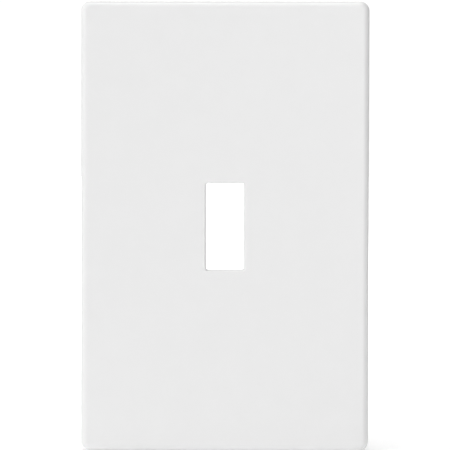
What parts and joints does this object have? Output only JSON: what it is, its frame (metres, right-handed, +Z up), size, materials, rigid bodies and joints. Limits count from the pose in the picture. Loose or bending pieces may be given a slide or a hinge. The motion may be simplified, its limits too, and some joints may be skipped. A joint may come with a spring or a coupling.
{
  "type": "wall plate cover",
  "caption": "Screwless toggle switch wall plate: a push-on rectangular cover with a toggle opening over a screwed mounting plate with snap arms.",
  "frame": {"origin": "middle of the plate on the wall surface, halfway between the two screws", "axes": "+Z up, as the plate hangs on the wall; +Y into the wall, so the cover faces -Y; +X to the right as seen from the front"},
  "size_m": [0.0794, 0.0169, 0.1238],
  "materials": {
    "cover_plastic": "white, fine satin gloss",
    "mounting_plastic": "natural white, matt moulded",
    "screw_steel": "zinc plated",
    "retainer_nylon": "natural nylon"
  },
  "bodies": {
    "cover": {"cover": "cover_plastic"},
    "mounting_plate": {"mounting_plate": "mounting_plastic"},
    "right_upper_snap": {"right_upper_snap": "mounting_plastic"},
    "right_lower_snap": {"right_lower_snap": "mounting_plastic"},
    "left_upper_snap": {"left_upper_snap": "mounting_plastic"},
    "left_lower_snap": {"left_lower_snap": "mounting_plastic"},
    "top_snap": {"top_snap": "mounting_plastic"},
    "bottom_snap": {"bottom_snap": "mounting_plastic"},
    "upper_screw": {"upper_screw": "screw_steel"},
    "lower_screw": {"lower_screw": "screw_steel"},
    "upper_retainer": {"upper_retainer": "retainer_nylon"},
    "lower_retainer": {"lower_retainer": "retainer_nylon"}
  },
  "joints": [
    {"name": "cover_release", "type": "slide", "parent": "mounting_plate", "child": "cover", "axis": [0, -1, 0], "range_m": [0, 0.02], "deforming": ["right_upper_snap", "right_lower_snap", "left_upper_snap", "left_lower_snap", "top_snap", "bottom_snap"]},
    {"name": "right_upper_snap_flex", "type": "hinge", "parent": "mounting_plate", "child": "right_upper_snap", "pos_m": [0.0351, -0.0024, 0.021], "axis": [0, -1, 0], "range_deg": [0, 2.5], "stiffness_Nm_per_rad": 0.33},
    {"name": "right_lower_snap_flex", "type": "hinge", "parent": "mounting_plate", "child": "right_lower_snap", "pos_m": [0.0351, -0.0024, -0.021], "axis": [0, 1, 0], "range_deg": [0, 2.5], "stiffness_Nm_per_rad": 0.33},
    {"name": "left_upper_snap_flex", "type": "hinge", "parent": "mounting_plate", "child": "left_upper_snap", "pos_m": [-0.0351, -0.0024, 0.021], "axis": [0, 1, 0], "range_deg": [0, 2.5], "stiffness_Nm_per_rad": 0.33},
    {"name": "left_lower_snap_flex", "type": "hinge", "parent": "mounting_plate", "child": "left_lower_snap", "pos_m": [-0.0351, -0.0024, -0.021], "axis": [0, -1, 0], "range_deg": [0, 2.5], "stiffness_Nm_per_rad": 0.33},
    {"name": "top_snap_flex", "type": "hinge", "parent": "mounting_plate", "child": "top_snap", "pos_m": [-0.015, -0.0024, 0.0571], "axis": [0, 1, 0], "range_deg": [0, 2.5], "stiffness_Nm_per_rad": 0.33},
    {"name": "bottom_snap_flex", "type": "hinge", "parent": "mounting_plate", "child": "bottom_snap", "pos_m": [0.015, -0.0024, -0.0571], "axis": [0, 1, 0], "range_deg": [0, 2.5], "stiffness_Nm_per_rad": 0.33},
    {"name": "upper_retainer_float", "type": "slide", "parent": "mounting_plate", "child": "upper_retainer", "axis": [0, -1, 0], "range_m": [0, 0.00079375]},
    {"name": "upper_screw_turn", "type": "hinge", "parent": "upper_retainer", "child": "upper_screw", "pos_m": [0, 0, 0.03016], "axis": [0, -1, 0], "range_deg": [0, 361]},
    {"name": "lower_retainer_float", "type": "slide", "parent": "mounting_plate", "child": "lower_retainer", "axis": [0, -1, 0], "range_m": [0, 0.00079375]},
    {"name": "lower_screw_turn", "type": "hinge", "parent": "lower_retainer", "child": "lower_screw", "pos_m": [0, 0, -0.03016], "axis": [0, -1, 0], "range_deg": [0, 361]}
  ],
  "couplings": [
    {"joint": "upper_screw_turn", "follows": "upper_retainer_float", "rad_per_m": 7915.8},
    {"joint": "lower_screw_turn", "follows": "lower_retainer_float", "rad_per_m": 7915.8}
  ]
}
